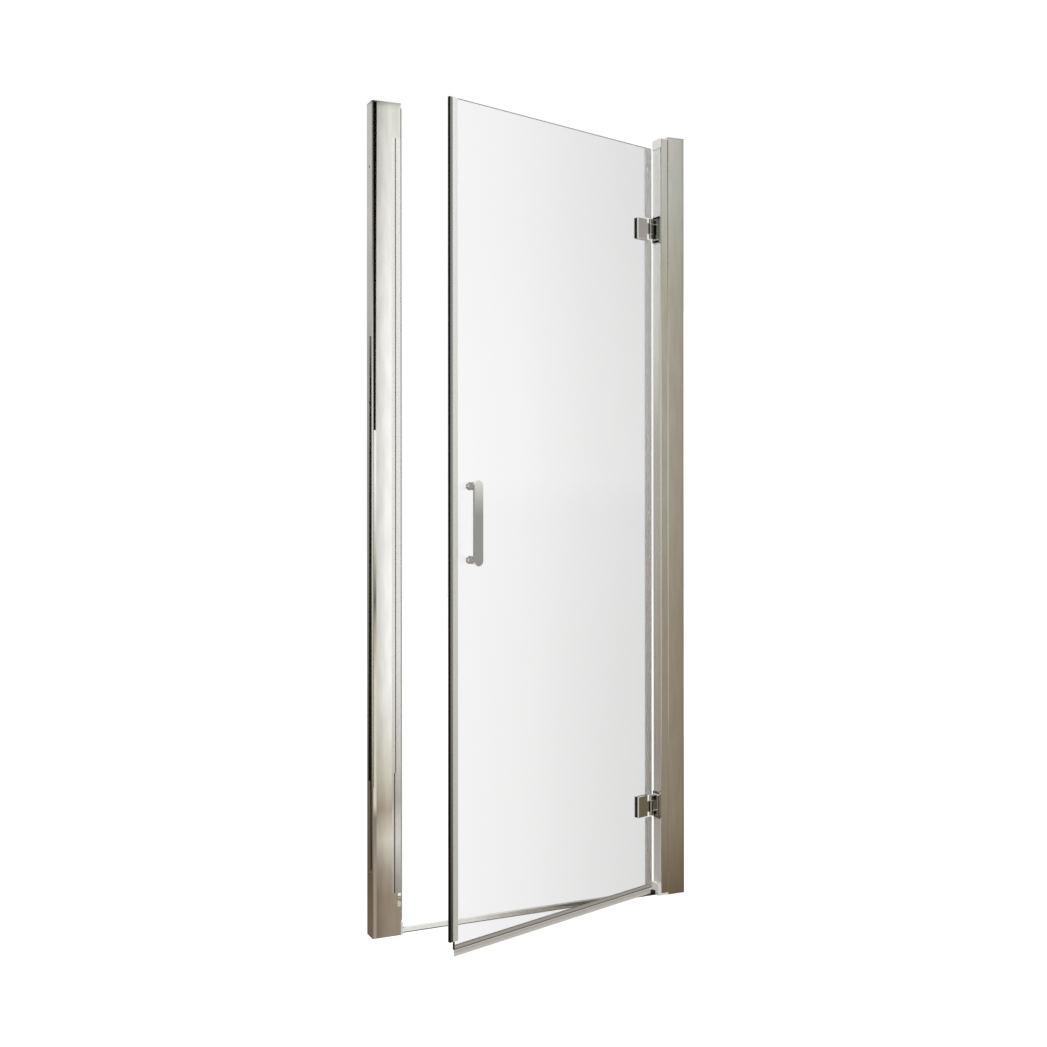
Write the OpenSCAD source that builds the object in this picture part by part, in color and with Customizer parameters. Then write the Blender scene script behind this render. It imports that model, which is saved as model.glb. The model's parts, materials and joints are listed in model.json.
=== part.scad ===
// Hinged shower door: one toughened glass door in a slim polished frame, standing partly open.
// X runs along the opening with the hinges at +X, the room is at -Y, and Z = 0 is the shower tray.
// The door is drawn closed about its own hinge axis and then turned, so its parts share one frame.

/* [Opening] */
// Width over both wall channels
set_w = 800; // [700:10:1000]
// Height from the tray to the top of the end caps
set_h = 1850; // [1750:10:2000]
// Angle at which the door stands open
open_angle = 18.7; // [0:0.1:90]

/* [Wall channels] */
// Front-to-back depth of a wall channel
channel_d = 41; // [40:1:46]
// Wall of the wall channels
channel_wall = 1.4; // [1.2:0.1:1.8]
// Outer corner radius on the wall side
channel_corner_r = 2; // [2:0.5:6]
// Rounding on the free edge of a channel's flanges
channel_lip_r = 0.6; // [0.4:0.1:0.6]
// Face width of the strike-side channel
strike_channel_w = 66; // [60:1:80]
// Face width of the hinge-side channel
hinge_channel_w = 45.5; // [43:0.5:60]
// Thickness of the end caps
cap_t = 3; // [2:0.5:5]
// Height of the tongue that holds a cap in its channel
cap_tongue_h = 8; // [4:1:14]
// Thickness of that tongue
cap_tongue_t = 2.4; // [1.6:0.2:3]

/* [Wall fixing] */
// Number of screw holes in the back of each channel
wall_hole_count = 4; // [3:1:6]
// Diameter of the wall screw holes
wall_hole_d = 5.5; // [4:0.5:7]
// Distance of the outer holes from the channel's ends
wall_hole_end = 140; // [60:10:300]

/* [Width adjustment] */
// Travel of the inner frame in its wall channels
adjust_travel = 12; // [6:1:14]
// Clearance between the inner frame and a channel's flange
slide_gap = 0.2; // [0.1:0.05:0.4]
// Number of clamp screws on each side
adjust_screw_count = 3; // [2:1:5]
// Diameter of a clamp screw
adjust_screw_d = 4; // [3:0.5:5]
// Distance of the outer clamp screws from the channel's ends
adjust_screw_end = 90; // [60:10:140]
// Thickness of the clamp nut inside the jamb
adjust_nut_t = 4; // [3:0.5:6]

/* [Jambs] */
// Wall of the jamb extrusions
jamb_wall = 1.6; // [1.3:0.1:2]
// Thickness of the jamb wall that faces the door
jamb_face_wall = 3.2; // [3:0.1:4]
// Corner radius of the jambs on the door side
jamb_corner_r = 1.5; // [0.8:0.1:1.6]
// How far the hinge jamb stands out of its channel
jamb_proud = 19.5; // [15:0.5:26]
// Height of the jambs' lower ends above the tray
foot_h = 5; // [3:0.5:8]
// Gap between the jambs' upper ends and the end caps
jamb_top_gap = 3; // [2.4:0.2:6]
// Height of the white block at the top of the hinge jamb
top_block_h = 21; // [12:1:40]
// Thickness of that block in front of the jamb's face
top_block_t = 1.8; // [1.2:0.2:3]
// Height of the corner blocks above the tray
corner_block_h = 26; // [18:1:32]
// Thickness of the hinge-side corner block along the opening
hinge_block_t = 8; // [6:0.5:9]
// Thickness of the strike-side corner block along the opening
strike_block_t = 5; // [3:0.5:8]
// Height of the plugs that hold the blocks in the jambs
plug_h = 14; // [8:1:20]

/* [Jamb seal] */
// Width of the seal strip on the hinge jamb
strip_w = 22; // [16:0.5:22]
// Thickness of that strip
strip_t = 1.5; // [1:0.1:1.8]
// Distance of its groove from the jamb's front
strip_setback = 9.5; // [6:0.5:11]
// Open slot left in front of the strip
strip_slot = 1.2; // [0.8:0.1:1.5]
// Radius of the soft rib along the strip
strip_rib_r = 1; // [0.6:0.1:1.4]

/* [Strike seal] */
// Width of the strike seal's base
strike_seal_w = 13; // [12:0.5:16]
// Depth of its base in the jamb's groove
strike_seal_root = 1.6; // [1.2:0.1:1.8]
// How far the strike seal stands out of the jamb
strike_seal_proud = 7.5; // [3:0.5:9]
// Reach of its stop fin past the closed door's tip
stop_fin_reach = 6; // [4:0.5:10]
// Thickness of the stop fin
stop_fin_t = 1.4; // [1:0.1:1.8]

/* [Glass] */
// Thickness of the glass
glass_t = 6; // [5:1:8]
// Height of its lower edge above the tray
glass_bottom = 17; // [15.5:0.5:24]
// Distance of its upper edge below the end caps' top
glass_top_gap = 29; // [15:1:60]
// Corner radius of the glass
glass_corner_r = 2; // [1:0.5:5]
// Distance of the hinge axis from the hinge jamb's face
axis_gap = 18; // [17.5:0.5:24]
// Distance of the glass edge from the hinge axis
glass_edge_gap = 1.5; // [1.5:0.5:3]
// Gap between the door's magnet and the strike magnet when closed
magnet_gap = 0.5; // [0.3:0.1:1.5]

/* [Door seals] */
// Wall of the soft profiles on the glass
seal_wall = 1; // [0.8:0.1:1.2]
// Reach of the leading seal past the glass edge
lead_reach = 12.7; // [11:0.1:16]
// Lap of the leading seal on the glass
lead_lap = 9; // [8:1:14]
// Thickness of the leading seal's body
lead_body_t = 7; // [6.5:0.5:9]
// Thickness of the black magnet's face
magnet_face_t = 1.5; // [1:0.1:2]
// Depth of the magnet in the leading seal
magnet_d = 6; // [4:0.5:8]
// Height of the leading seal's lower end above the tray
lead_bottom = 36; // [32:1:50]
// Lap of the hinge-side seal on the glass
edge_lap = 18.5; // [12:0.5:20]
// Lap of the drip seal on the glass
drip_lap = 10; // [6:0.5:12]
// Height of the drip fin's edge above the tray
drip_edge = 3; // [2.6:0.2:6]
// Thickness of the drip fin
drip_fin_t = 1.2; // [0.8:0.1:2]
// Distance of the drip seal's ends from the glass corners
drip_inset = 0.5; // [0.5:0.5:8]

/* [Threshold] */
// Front-to-back depth of the threshold
sill_d = 18; // [16.5:0.5:24]
// Thickness of its flat part
sill_t = 1.6; // [1.2:0.1:2]
// Height of its upstand behind the glass
upstand_h = 9; // [6:0.5:12]
// Thickness of the upstand
upstand_t = 2.6; // [1.6:0.2:3]
// Distance of the upstand from the closed door's centre plane
upstand_y = 5.4; // [5:0.2:6]
// Size of the rubber stop at the hinge end, along the opening
rubber_stop_l = 8.5; // [5:0.5:8.5]

/* [Hinges] */
// Height of the lower hinge above the tray
lower_hinge_z = 217.5; // [150:0.5:400]
// Distance of the upper hinge below the upper edge of the glass
upper_hinge_drop = 196; // [150:0.5:400]
// How far a wall plate stands out above and below its cover
plate_rim = 6.5; // [5:0.5:10]
// Width of the wall plate
plate_w = 36.5; // [30:0.5:36.5]
// Thickness of the wall plate
plate_t = 2.2; // [2:0.1:3]
// How far the snap-on cover reaches past the barrel's ends
cover_rim = 1; // [1:0.25:4]
// Width of that cover
cover_w = 27; // [26:0.5:29]
// Thickness of that cover
cover_t = 2.6; // [2:0.1:3.4]
// Bevel round the cover's face
cover_bevel = 1; // [0.4:0.1:1.4]
// Diameter of the plate screws
plate_screw_d = 5; // [4:0.5:5]
// Thickness of the nut plate inside the jamb
nut_plate_t = 4; // [3:0.5:6]
// Diameter of the hinge barrel
barrel_d = 14; // [13:0.5:16]
// Height of the hinge barrel
barrel_h = 48; // [40:1:60]
// Height of the door's knuckle in the middle of the barrel
knuckle_h = 24; // [20:1:26]
// Diameter of the hinge pin
pin_d = 6; // [5:0.5:7]
// Wall of the nylon bushes
bush_wall = 1.2; // [1:0.1:1.4]
// Thickness of the bushes' flanges
bush_flange_t = 0.8; // [0.6:0.1:1.2]
// Radial running clearance of the pin in its bushes
run_gap = 0.05; // [0.02:0.01:0.1]
// Vertical clearance at each bush flange
thrust_gap = 0.1; // [0.05:0.05:0.3]
// Thickness of the wall plate's arms
arm_t = 8; // [6:0.5:10]

/* [Glass clamps] */
// Distance of a clamp from the hinge axis
clamp_start = 19; // [18:0.5:28]
// Width of a clamp
clamp_w = 37; // [32:1:44]
// Height of a clamp
clamp_h = 50; // [44:1:60]
// Shift of each clamp from its hinge towards the middle of the door
clamp_shift = 4; // [0:0.5:5]
// Thickness of each clamp plate
clamp_t = 4.5; // [4:0.25:6]
// Bevel on the clamps' upright edges
clamp_bevel = 3; // [1:0.25:3.25]
// Thickness of the gaskets on the glass
gasket_t = 1; // [0.6:0.1:1.4]
// Length of the leaf's block inside the glass cut-out
leaf_block_l = 26; // [18:1:26]
// Diameter of the clamp screws
clamp_screw_d = 6; // [5:0.5:6]
// Distance between the two clamp screws
clamp_screw_pitch = 13; // [12:0.5:13]

/* [Handle] */
// Distance of the handle from the door's leading tip
handle_inset = 61; // [45:0.5:120]
// Shift of the handle above the middle of the glass
handle_rise = 0; // [-150:5:150]
// Length of the handle's bar
handle_l = 184; // [180:1:300]
// Width of the bar
handle_w = 26; // [20:1:34]
// Thickness of the bar
handle_t = 5; // [4:0.5:7]
// Bevel round the bar
handle_bevel = 0.8; // [0.4:0.1:1.4]
// Distance of the bar's face from the glass
handle_standoff = 24; // [22:1:45]
// Distance between the two posts
handle_centres = 158; // [120:1:158]
// Diameter of a post
post_d = 18; // [16:0.5:20]
// Diameter of the holes in the glass
handle_hole_d = 12; // [11:0.5:14]
// Diameter of the handle screws
handle_screw_d = 6; // [5:0.5:7]
// Thickness of the handle washers
washer_t = 1; // [0.6:0.1:1.6]
// Depth of the caps on the inside of the glass
inner_cap_d = 5.5; // [5:0.5:9]

/* [Hidden] */
$fn = 48;
eps = 0.01;

// Places of the frame along the opening
strike_face_x = -set_w / 2 + strike_channel_w;
hinge_mouth_x = set_w / 2 - hinge_channel_w;
hinge_face_x = hinge_mouth_x - jamb_proud;
axis_x = hinge_face_x - axis_gap;
channel_h = set_h - cap_t;
channel_in = channel_d - 2 * channel_wall;

// Jambs slide in the channels, so their sizes follow the travel and the clamp slots
jamb_d = channel_in - 2 * slide_gap;
jamb_in = jamb_d - 2 * jamb_wall;
jamb_top = channel_h - jamb_top_gap;
jamb_h = jamb_top - foot_h;
slot_w = adjust_screw_d + 0.6;
slot_cover = 1;
screw_inset = adjust_travel + slot_w / 2 + slot_cover;
end_margin = 2.6;
strike_jamb_w = screw_inset + adjust_travel + slot_w / 2 + jamb_wall + end_margin;
cap_clear = 0.1;
hinge_pocket = hinge_channel_w - channel_wall - cap_clear - cap_tongue_t;
hinge_jamb_w = jamb_proud + hinge_pocket - adjust_travel - end_margin;
adjust_nut_w = adjust_screw_d + 5;
adjust_nut_gap = 0.2;
adjust_head_d = 2 * adjust_screw_d;
adjust_head_h = 0.6 * adjust_screw_d;
plug_gap = 0.3;
block_side = 0.2;

// Door, measured along the glass from the hinge axis
door_reach = axis_x - strike_face_x - strike_seal_proud - magnet_gap;
glass_end = door_reach - lead_reach;
glass_top = set_h - glass_top_gap;
glass_mid = (glass_bottom + glass_top) / 2;
half_glass = glass_t / 2;
drip_top = glass_bottom + drip_lap;
upper_hinge_z = glass_top - upper_hinge_drop;

// Hinge details
barrel_r = barrel_d / 2;
pin_r = pin_d / 2;
pin_fit = 0.02;
pin_head_t = 1.2;
bush_r = pin_r + run_gap + bush_wall;
ear_start = knuckle_h / 2 + bush_flange_t + thrust_gap;
notch_gap = 2;
barrel_slot_a = barrel_r + notch_gap;
barrel_slot_h = barrel_h + 2 * notch_gap + 2;
block_slot_a = clamp_start + leaf_block_l + notch_gap;
block_slot_h = knuckle_h + 2 * notch_gap;
half_block = half_glass + gasket_t;
clamp_end = clamp_start + clamp_w;
screw_gap = 0.05;
cover_h = barrel_h + 2 * cover_rim;
plate_h = cover_h + 2 * plate_rim;
plate_screw_y = cover_w / 2 - plate_screw_d;
plate_screw_z = cover_h / 2 - plate_screw_d - 2;
plate_head_h = plate_screw_d * 0.36;
plate_head_r = plate_screw_d / 2 + plate_head_h;
clamp_head_h = clamp_screw_d * 0.4;
clamp_head_r = clamp_screw_d / 2 + clamp_head_h;
strip_y = -jamb_d / 2 + strip_setback;
plate_clear = 0.5;

// Handle details
handle_a = door_reach - handle_inset;
handle_z = glass_mid + handle_rise;
handle_back_y = -half_glass - handle_standoff + handle_t;
screw_head_r = handle_screw_d * 0.9;
screw_head_h = handle_screw_d * 0.5;
thread_l = 12;

// Evenly spaced heights between the two ends of a channel
function spread(count, end) =
    [for (i = [0 : count - 1]) end + i * (channel_h - 2 * end) / (count - 1)];

// Flat shapes
module rounded_rect(w, h, r) {
    translate([r, 0]) square([w - 2 * r, h]);
    translate([0, r]) square([w, h - 2 * r]);
    for (x = [r, w - r], y = [r, h - r]) translate([x, y]) circle(r);
}

// Rectangle from x = 0, centred on y = 0, with round corners at x = 0 only
module half_rounded(w, d, r) {
    translate([r, -d / 2]) square([w - r, d]);
    translate([0, r - d / 2]) square([r, d - 2 * r]);
    for (y = [r - d / 2, d / 2 - r]) translate([r, y]) circle(r);
}

module slot_2d(l, w) {
    square([l - w, w], center = true);
    for (x = [-1, 1]) translate([x * (l - w) / 2, 0]) circle(w / 2);
}

// Placement: a wall channel or jamb measured from its own wall or face, the door about its axis
module at_strike_wall() { translate([-set_w / 2, 0, 0]) children(); }
module at_hinge_wall() { translate([set_w / 2, 0, 0]) mirror([1, 0, 0]) children(); }
module at_strike_face() { translate([strike_face_x, 0, 0]) mirror([1, 0, 0]) children(); }
module at_hinge_face() { translate([hinge_face_x, 0, 0]) children(); }
module on_axis(z = 0) { translate([axis_x, 0, z]) children(); }
module on_door(z = 0) { on_axis(z) rotate([0, 0, open_angle]) children(); }

// Turns a flat shape drawn in X and Z into a slab from y = y0 to y = y1
module slab_y(y0, y1) { translate([0, y1, 0]) rotate([90, 0, 0]) linear_extrude(y1 - y0) children(); }

// Wall channels: a U that is screwed to the wall and takes the jamb
module channel_outline(w) {
    half_rounded(w - channel_lip_r, channel_d, channel_corner_r);
    difference() {
        translate([w - channel_lip_r - eps, -channel_d / 2]) square([channel_lip_r + eps, channel_d]);
        for (s = [0, 1]) mirror([0, s]) translate([w - channel_lip_r, channel_d / 2 - channel_lip_r])
            difference() {
                square(channel_lip_r + 1);
                circle(channel_lip_r);
            }
    }
}

module channel(w) {
    difference() {
        linear_extrude(channel_h) difference() {
            channel_outline(w);
            translate([channel_wall, 0])
                half_rounded(w, channel_in, channel_corner_r - channel_wall);
        }
        for (z = spread(wall_hole_count, wall_hole_end))
            translate([-1, 0, z]) rotate([0, 90, 0]) cylinder(d = wall_hole_d, h = channel_wall + 2);
        for (z = spread(adjust_screw_count, adjust_screw_end))
            translate([w - screw_inset, channel_d / 2 + 1, z]) rotate([90, 0, 0])
                cylinder(d = adjust_screw_d + 2 * screw_gap, h = channel_wall + 2);
    }
}

module channel_cap(w) {
    translate([0, 0, channel_h]) linear_extrude(cap_t) half_rounded(w, channel_d, channel_corner_r);
    tongue_d = channel_in - 2 * channel_corner_r;
    translate([channel_wall + cap_clear, -tongue_d / 2, channel_h - cap_tongue_h])
        cube([cap_tongue_t, tongue_d, cap_tongue_h]);
}

// Clamp screws: through the channel's rear flange and a slot in the jamb into a loose nut
module adjust_screws(w) {
    nut_y = jamb_in / 2 - adjust_nut_gap - adjust_nut_t;
    half_head = adjust_head_h / 2;
    for (z = spread(adjust_screw_count, adjust_screw_end))
        translate([w - screw_inset, 0, z]) rotate([-90, 0, 0]) {
            translate([0, 0, nut_y]) cylinder(d = adjust_screw_d, h = channel_d / 2 - nut_y);
            translate([0, 0, channel_d / 2]) difference() {
                union() {
                    cylinder(d = adjust_head_d, h = half_head);
                    translate([0, 0, half_head])
                        cylinder(d1 = adjust_head_d, d2 = 0.7 * adjust_head_d, h = half_head);
                }
                translate([0, 0, adjust_head_h / 3])
                    cylinder(d = 0.5 * adjust_screw_d, h = adjust_head_h, $fn = 6);
            }
        }
}

module adjust_nuts(w) {
    for (z = spread(adjust_screw_count, adjust_screw_end))
        translate([w - screw_inset, jamb_in / 2 - adjust_nut_gap, z]) rotate([90, 0, 0]) difference() {
            translate([-adjust_nut_w / 2, -adjust_nut_w / 2, 0])
                cube([adjust_nut_w, adjust_nut_w, adjust_nut_t]);
            translate([0, 0, -1]) cylinder(d = adjust_screw_d + 2 * screw_gap, h = adjust_nut_t + 2);
        }
}

// Jambs: boxes from their door face at x = 0, with slots for the clamp screws in the rear wall
module jamb(w, screw_x, slot_dir) {
    difference() {
        translate([0, 0, foot_h]) linear_extrude(jamb_h) difference() {
            half_rounded(w, jamb_d, jamb_corner_r);
            translate([jamb_face_wall, -jamb_in / 2]) square([w - jamb_face_wall - jamb_wall, jamb_in]);
        }
        for (z = spread(adjust_screw_count, adjust_screw_end))
            translate([screw_x + slot_dir * adjust_travel / 2, jamb_d / 2 + 1, z]) rotate([90, 0, 0])
                linear_extrude(jamb_wall + 2) slot_2d(adjust_travel + slot_w, slot_w);
    }
}

module strike_jamb() {
    color("#c4c5c3") at_strike_face() difference() {
        jamb(strike_jamb_w, screw_inset, 1);
        translate([-1, -strike_seal_w / 2, foot_h - 1])
            cube([strike_seal_root + 1, strike_seal_w, jamb_h + 2]);
    }
}

module hinge_jamb() {
    color("#c4c5c3") at_hinge_face() difference() {
        jamb(hinge_jamb_w, jamb_proud + screw_inset, -1);
        translate([-1, strip_y, foot_h - 1]) cube([strip_t + 1, strip_slot + strip_w, jamb_h + 2]);
        for (z = [lower_hinge_z, upper_hinge_z]) translate([-1, 0, z]) plate_screw_places()
            rotate([0, 90, 0]) cylinder(d = plate_screw_d + 2 * screw_gap, h = jamb_face_wall + 2);
    }
}

// White block that closes the seal groove at the top of the hinge jamb and covers the jamb's end
module jamb_top_block() {
    cover = min(1.8, jamb_top_gap - 0.6);
    color("#ecece8") at_hinge_face() {
        difference() {
            translate([-top_block_t, 0, jamb_top - top_block_h]) linear_extrude(top_block_h + cover)
                half_rounded(hinge_jamb_w + top_block_t, jamb_d, jamb_corner_r);
            translate([0, -jamb_d, foot_h]) cube([hinge_jamb_w + 1, 2 * jamb_d, jamb_h]);
        }
        translate([0, strip_y + strip_slot, jamb_top - top_block_h]) cube([strip_t, strip_w, top_block_h]);
        jamb_plug(hinge_jamb_w, jamb_top - plug_h);
    }
}

// Plug that fills a jamb's hollow from height z
module jamb_plug(w, z) {
    translate([jamb_face_wall + plug_gap, -jamb_in / 2 + plug_gap, z])
        cube([w - jamb_face_wall - jamb_wall - 2 * plug_gap, jamb_in - 2 * plug_gap, plug_h]);
}

// Corner block: a foot under the jamb, a plug in it and an upstand that holds the threshold's end
module corner_block(w, t) {
    translate([0, block_side - jamb_d / 2, 0]) cube([w, jamb_d - 2 * block_side, foot_h]);
    jamb_plug(w, foot_h);
    difference() {
        translate([-t, 0, 0]) linear_extrude(corner_block_h)
            half_rounded(t, jamb_d - 2 * block_side, jamb_corner_r);
        translate([-t, 0, 0]) rotate([90, 0, 90]) linear_extrude(sill_tongue) sill_outline();
    }
}

module strike_corner_block() {
    color("#dcdcd6") at_strike_face() corner_block(strike_jamb_w, strike_block_t);
}

module hinge_corner_block() {
    color("#dcdcd6") at_hinge_face() corner_block(hinge_jamb_w, hinge_block_t);
}

// Threshold: a flat bar with a sloping nose, and an upstand behind the glass
sill_tongue = 1.5;
module sill_outline() {
    nose = 3;
    toe = 0.8;
    edge = 0.7;
    rear = upstand_y + upstand_t;
    polygon([[-sill_d / 2, 0], [-sill_d / 2, toe], [nose - sill_d / 2, sill_t], [upstand_y, sill_t],
             [upstand_y, upstand_h - edge], [upstand_y + edge, upstand_h], [rear - edge, upstand_h],
             [rear, upstand_h - edge], [rear, sill_t], [sill_d / 2, toe], [sill_d / 2, 0]]);
}

module threshold() {
    from = strike_face_x + strike_block_t - sill_tongue;
    to = hinge_face_x - hinge_block_t + sill_tongue;
    color("#b9bab7") translate([from, 0, 0]) rotate([90, 0, 90]) linear_extrude(to - from) sill_outline();
}

// Rubber pad on the threshold, in front of the hinge-side corner block
module threshold_rubber_stop() {
    depth = upstand_y + sill_d / 4;
    height = upstand_h - sill_t;
    color("#1c1b1a") translate([hinge_face_x - hinge_block_t - rubber_stop_l, -sill_d / 4, sill_t])
        rotate([90, 0, 90]) linear_extrude(rubber_stop_l) rounded_rect(depth, height, 1);
}

// Seal strip in the hinge jamb, cut where the wall plates sit
module jamb_seal_strip() {
    plate_edge = plate_h / 2 + plate_clear;
    ends = [corner_block_h, lower_hinge_z - plate_edge, lower_hinge_z + plate_edge,
            upper_hinge_z - plate_edge, upper_hinge_z + plate_edge, jamb_top - top_block_h];
    color("#d6d7d2") at_hinge_face() for (i = [0, 2, 4])
        translate([0, strip_y + strip_slot, ends[i]]) linear_extrude(ends[i + 1] - ends[i]) {
            square([strip_t, strip_w]);
            for (y = [strip_rib_r, strip_w - strip_rib_r]) translate([0, y]) circle(strip_rib_r);
        }
}

// Strike seal: a clip-in profile with a magnet, and the fin that stops the closed door
module strike_seal_outline() {
    seat = strike_seal_w / 2;
    difference() {
        translate([-strike_seal_proud, -lead_body_t / 2]) square([strike_seal_proud, lead_body_t]);
        translate([-strike_seal_proud - 1, -lead_body_t / 2 + seal_wall])
            square([magnet_face_t + 1, lead_body_t - 2 * seal_wall]);
    }
    translate([0, -seat]) square([strike_seal_root, strike_seal_w]);
    fin_y = max(lead_body_t / 2, half_glass + seal_wall) + 0.6;
    translate([-seal_wall, 0]) square([seal_wall, fin_y + stop_fin_t]);
    fin_end = -strike_seal_proud - stop_fin_reach;
    translate([fin_end, fin_y]) square([-fin_end, stop_fin_t]);
    translate([fin_end, fin_y + stop_fin_t / 2]) circle(d = stop_fin_t);
}

module strike_seal() {
    color("#d6d7d2") at_strike_face() translate([0, 0, corner_block_h])
        linear_extrude(jamb_top - corner_block_h) strike_seal_outline();
}

module strike_magnet() {
    color("#1a1a1a") at_strike_face()
        translate([-strike_seal_proud, -lead_body_t / 2 + seal_wall, corner_block_h])
            cube([magnet_face_t, lead_body_t - 2 * seal_wall, jamb_top - corner_block_h]);
}

// Countersunk screw along +X, its head face at x = 0
module countersunk(d, head_r, head_h, l, key) {
    difference() {
        union() {
            rotate([0, 90, 0]) cylinder(r1 = head_r, r2 = d / 2, h = head_h);
            rotate([0, 90, 0]) cylinder(d = d, h = l);
        }
        translate([-1, 0, 0]) rotate([0, 90, 0]) cylinder(d = key, h = 1 + head_h / 2, $fn = 6);
    }
}

// Hole for such a screw, with its head seat
module countersink(d, head_r, head_h, l) {
    translate([-eps, 0, 0]) rotate([0, 90, 0]) cylinder(r1 = head_r + eps, r2 = d / 2, h = head_h + eps);
    translate([-1, 0, 0]) rotate([0, 90, 0]) cylinder(d = d + 2 * screw_gap, h = l + 1);
}

module plate_screw_places() {
    for (y = [-plate_screw_y, plate_screw_y], z = [-plate_screw_z, plate_screw_z])
        translate([0, y, z]) children();
}

// Hinge, wall side: the plate with two ears of the barrel on arms
module wall_plate() {
    arm_w = axis_gap - plate_t;
    difference() {
        union() {
            translate([axis_gap - plate_t, 0, 0]) rotate([90, 0, 90]) linear_extrude(plate_t)
                translate([-plate_w / 2, -plate_h / 2]) rounded_rect(plate_w, plate_h, 2);
            for (s = [0, 1]) mirror([0, 0, s]) translate([0, 0, ear_start]) {
                cylinder(r = barrel_r, h = barrel_h / 2 - ear_start);
                translate([0, -arm_t / 2, 0]) cube([arm_w + eps, arm_t, barrel_h / 2 - ear_start]);
            }
        }
        cylinder(r = pin_r + pin_fit, h = 2 * barrel_h, center = true);
        translate([axis_gap - plate_t, 0, 0]) plate_screw_places()
            countersink(plate_screw_d, plate_head_r, plate_head_h, plate_t + 1);
    }
}

module plate_screws() {
    l = plate_t + jamb_face_wall + nut_plate_t;
    translate([axis_gap - plate_t, 0, 0]) plate_screw_places()
        countersunk(plate_screw_d, plate_head_r, plate_head_h, l, plate_screw_d / 2);
}

module nut_plate() {
    translate([axis_gap + jamb_face_wall, 0, 0]) difference() {
        translate([0, -jamb_in / 2 + plug_gap, -plate_h / 2])
            cube([nut_plate_t, jamb_in - 2 * plug_gap, plate_h]);
        plate_screw_places() translate([-1, 0, 0]) rotate([0, 90, 0])
            cylinder(d = plate_screw_d + 2 * screw_gap, h = nut_plate_t + 2);
    }
}

// Snap-on cover over the plate screws, open where the arms pass through it
module cover_outline(w, y0) {
    x0 = axis_gap - plate_t - cover_t;
    polygon([[y0, -w / 2], [x0 + cover_bevel, -w / 2], [x0, cover_bevel - w / 2],
             [x0, w / 2 - cover_bevel], [x0 + cover_bevel, w / 2], [y0, w / 2]]);
}

module plate_cover() {
    base_x = axis_gap - plate_t;
    window_w = arm_t + 0.4;
    window_z = ear_start - 0.2;
    difference() {
        intersection() {
            linear_extrude(cover_h, center = true) cover_outline(cover_w, base_x);
            rotate([90, 0, 0]) linear_extrude(cover_w + 2, center = true) cover_outline(cover_h, base_x);
        }
        for (s = [0, 1]) mirror([0, 0, s]) translate([base_x - cover_t - 1, -window_w / 2, window_z])
            cube([cover_t + 2, window_w, barrel_h / 2 + 0.2 - window_z]);
    }
}

module hinge_pin() {
    translate([0, 0, -barrel_h / 2]) cylinder(r = pin_r, h = barrel_h);
    translate([0, 0, barrel_h / 2]) cylinder(r1 = barrel_r - 1.5, r2 = barrel_r - 2.2, h = pin_head_t);
}

// Hinge, door side: knuckle, block through the glass cut-out and front clamp plate in one piece
module clamp_outline() {
    back = half_block;
    face = half_block + clamp_t;
    polygon([[-clamp_start, -back], [-clamp_end, -back], [-clamp_end, clamp_bevel - face],
             [clamp_bevel - clamp_end, -face], [-clamp_bevel - clamp_start, -face],
             [-clamp_start, clamp_bevel - face]]);
}

module clamp_screw_places() {
    for (z = [-1, 1] * clamp_screw_pitch / 2)
        translate([-clamp_start - leaf_block_l / 2, 0, z]) children();
}

module hinge_leaf(shift) {
    difference() {
        union() {
            translate([0, 0, shift]) linear_extrude(clamp_h, center = true) clamp_outline();
            cylinder(r = barrel_r, h = knuckle_h, center = true);
            translate([-clamp_start - leaf_block_l, -half_block - eps, -knuckle_h / 2])
                cube([clamp_start + leaf_block_l, 2 * half_block + eps, knuckle_h]);
        }
        cylinder(r = bush_r, h = knuckle_h + 2, center = true);
        clamp_screw_places() translate([0, half_block + 1, 0]) rotate([90, 0, 0])
            cylinder(d = clamp_screw_d + 2 * screw_gap, h = 2 * half_block + 1.5);
    }
}

module clamp_plate(shift) {
    difference() {
        translate([0, 0, shift]) mirror([0, 1, 0]) linear_extrude(clamp_h, center = true) clamp_outline();
        clamp_screw_places() translate([0, half_block + clamp_t, 0]) rotate([0, 0, -90])
            countersink(clamp_screw_d, clamp_head_r, clamp_head_h, clamp_t + 1);
    }
}

module clamp_screws() {
    l = clamp_t + 2 * half_block;
    clamp_screw_places() translate([0, half_block + clamp_t, 0]) rotate([0, 0, -90])
        countersunk(clamp_screw_d, clamp_head_r, clamp_head_h, l, 0.6 * clamp_screw_d);
}

module clamp_gaskets(shift) {
    edge = 0.5;
    for (s = [0, 1]) mirror([0, s, 0]) slab_y(-half_block, -half_glass) difference() {
        translate([-clamp_end + edge, shift + edge - clamp_h / 2])
            square([clamp_w - 2 * edge, clamp_h - 2 * edge]);
        translate([-block_slot_a, -block_slot_h / 2]) square([block_slot_a, block_slot_h]);
    }
}

// Flanged bushes pressed into both ends of the door's knuckle
module hinge_bushes() {
    for (s = [0, 1]) mirror([0, 0, s]) difference() {
        union() {
            translate([0, 0, 1]) cylinder(r = bush_r, h = knuckle_h / 2 - 1 + eps);
            translate([0, 0, knuckle_h / 2]) cylinder(r = barrel_r - 0.5, h = bush_flange_t);
        }
        cylinder(r = pin_r + run_gap, h = knuckle_h);
    }
}

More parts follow.
